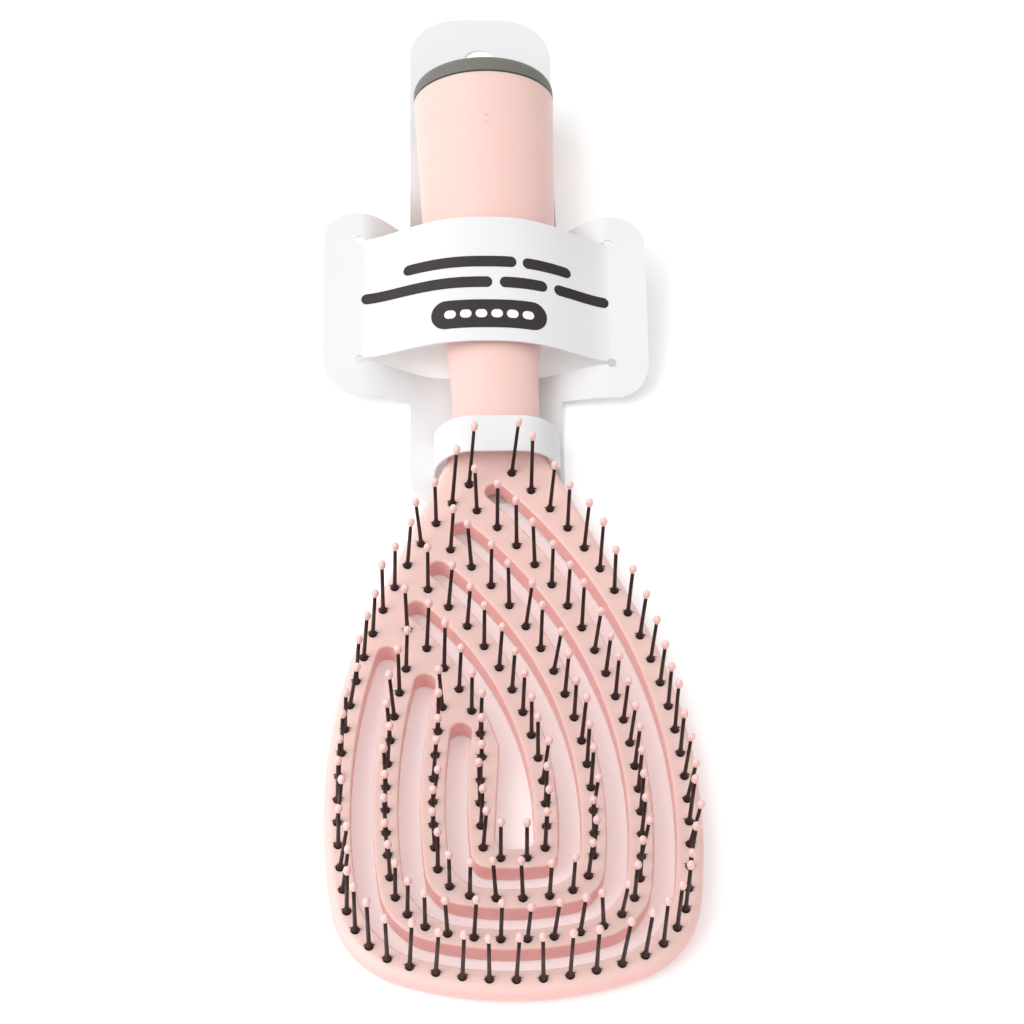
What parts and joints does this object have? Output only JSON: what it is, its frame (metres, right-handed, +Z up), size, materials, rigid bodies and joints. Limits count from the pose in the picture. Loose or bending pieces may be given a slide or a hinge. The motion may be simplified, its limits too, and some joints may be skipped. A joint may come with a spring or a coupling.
{
  "type": "detangling brush",
  "caption": "Vented detangling brush: teardrop head with swept U slots and ball-tipped pins, flared hollow handle with a base to stand on, threaded through a hang card.",
  "frame": {"origin": "on the ground under the middle of the whole, head and card tab included, with the brush on its back", "axes": "+X across the head, +Y from the head's nose to the handle's base, +Z up along the pins"},
  "size_m": [0.0766, 0.2641, 0.0238],
  "materials": {
    "pink_shell": "satin",
    "grey_cap": "matte",
    "dark_pin": "satin",
    "pink_tip": "gloss",
    "white_board": "matte"
  },
  "bodies": {
    "brush": {"head_front": "pink_shell", "head_back": "pink_shell", "handle_tube": "pink_shell", "base_cap": "grey_cap", "pins_frame": "dark_pin", "pins_outer_rib": "dark_pin", "pins_middle_rib": "dark_pin", "pins_inner_rib": "dark_pin", "tips_frame": "pink_tip", "tips_outer_rib": "pink_tip", "tips_middle_rib": "pink_tip", "tips_inner_rib": "pink_tip"},
    "card": {"hang_card": "white_board"}
  },
  "joints": [
    {"name": "card_slide", "type": "slide", "parent": "brush", "child": "card", "axis": [0, 1, 0], "range_m": [-0.0008, 0.0012]}
  ]
}
